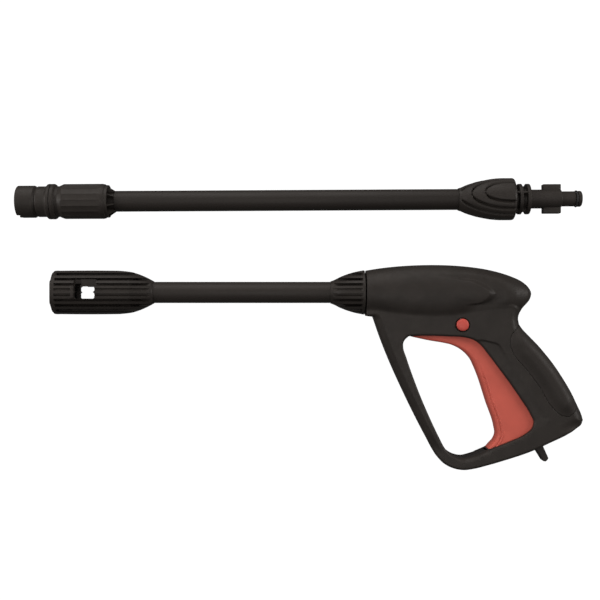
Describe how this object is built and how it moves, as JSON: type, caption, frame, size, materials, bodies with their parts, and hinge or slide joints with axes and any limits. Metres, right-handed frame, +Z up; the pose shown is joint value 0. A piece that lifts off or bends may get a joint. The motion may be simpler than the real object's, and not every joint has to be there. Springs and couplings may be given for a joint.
{
  "type": "pressure washer gun and lance",
  "caption": "Pressure washer trigger gun with loop guard, cross-bolt safety and fluted lance socket, beside its detachable bayonet spray lance with a turning nozzle head.",
  "frame": {"origin": "centre of the bounding box, on the surface that both pieces lie on", "axes": "+X from the nozzle end to the grip end, +Y from the gun towards the lance, +Z up from the surface"},
  "size_m": [0.5008, 0.2578, 0.0386],
  "materials": {
    "body_black": "satin black moulded plastic, fine texture",
    "tube_black": "satin black extruded plastic tube",
    "grip_black": "matt soft-touch black",
    "trigger_red": "satin brick-red moulded plastic",
    "brass": "machined brass",
    "steel": "bright steel",
    "seal_rubber": "black nitrile rubber"
  },
  "bodies": {
    "gun": {"left_body_shell": "body_black", "right_body_shell": "body_black", "lance_socket": "body_black", "socket_insert": "body_black", "rear_cone": "body_black", "barrel_tube": "tube_black", "inlet_pipe": "tube_black", "back_grip_pad": "grip_black", "valve_body": "brass", "valve_end_cap": "brass", "hose_inlet_socket": "brass", "barrel_water_pipe": "steel", "valve_spring": "steel", "trigger_spring": "steel", "latch_spring": "steel", "trigger_pin": "steel", "body_screw_1": "steel", "body_screw_2": "steel", "body_screw_3": "steel", "body_screw_4": "steel", "body_screw_5": "steel", "body_screw_6": "steel", "body_screw_7": "steel", "valve_seat": "seal_rubber", "socket_seal": "seal_rubber", "hose_inlet_seal": "seal_rubber"},
    "trigger": {"trigger": "trigger_red"},
    "push_rod": {"push_rod": "steel", "valve_ball": "steel"},
    "safety": {"safety_button": "trigger_red"},
    "latch": {"hose_latch": "body_black"},
    "lance": {"front_grip": "body_black", "lance_tube": "tube_black", "lance_water_pipe": "steel", "lance_collar": "body_black", "bayonet_plug": "body_black", "plug_o_ring": "seal_rubber", "nozzle_body": "brass", "nozzle_seal": "seal_rubber", "nozzle_tip": "steel"},
    "nozzle_head": {"nozzle_head": "body_black"}
  },
  "joints": [
    {"name": "trigger_pull", "type": "hinge", "parent": "gun", "child": "trigger", "pos_m": [0.1097, -0.00497, 0.01932], "axis": [0, 0, 1], "range_deg": [0, 9], "stiffness_Nm_per_rad": 0.6, "springref_deg": -14.32, "deforming": ["trigger_spring"]},
    {"name": "push_rod_slide", "type": "slide", "parent": "gun", "child": "push_rod", "axis": [0, 1, 0], "range_m": [0, 0.0024], "deforming": ["valve_spring"]},
    {"name": "safety_slide", "type": "slide", "parent": "gun", "child": "safety", "axis": [0, 0, 1], "range_m": [-0.0035, 0]},
    {"name": "hose_latch_slide", "type": "slide", "parent": "gun", "child": "latch", "axis": [0.891, 0.454, 0], "range_m": [0, 0.003], "stiffness_N_per_m": 300, "springref_m": -0.004, "deforming": ["latch_spring"]},
    {"name": "lance_lift", "type": "slide", "parent": "gun", "child": "lance", "axis": [0, 0, 1], "range_m": [0, 0.15]},
    {"name": "nozzle_twist", "type": "hinge", "parent": "lance", "child": "nozzle_head", "pos_m": [-0.23529, 0.10805, 0.01568], "axis": [1, 0.0046, 0.0078], "range_deg": [0, 90]}
  ],
  "couplings": [
    {"joint": "push_rod_slide", "follows": "trigger_pull", "m_per_rad": 0.0148}
  ]
}
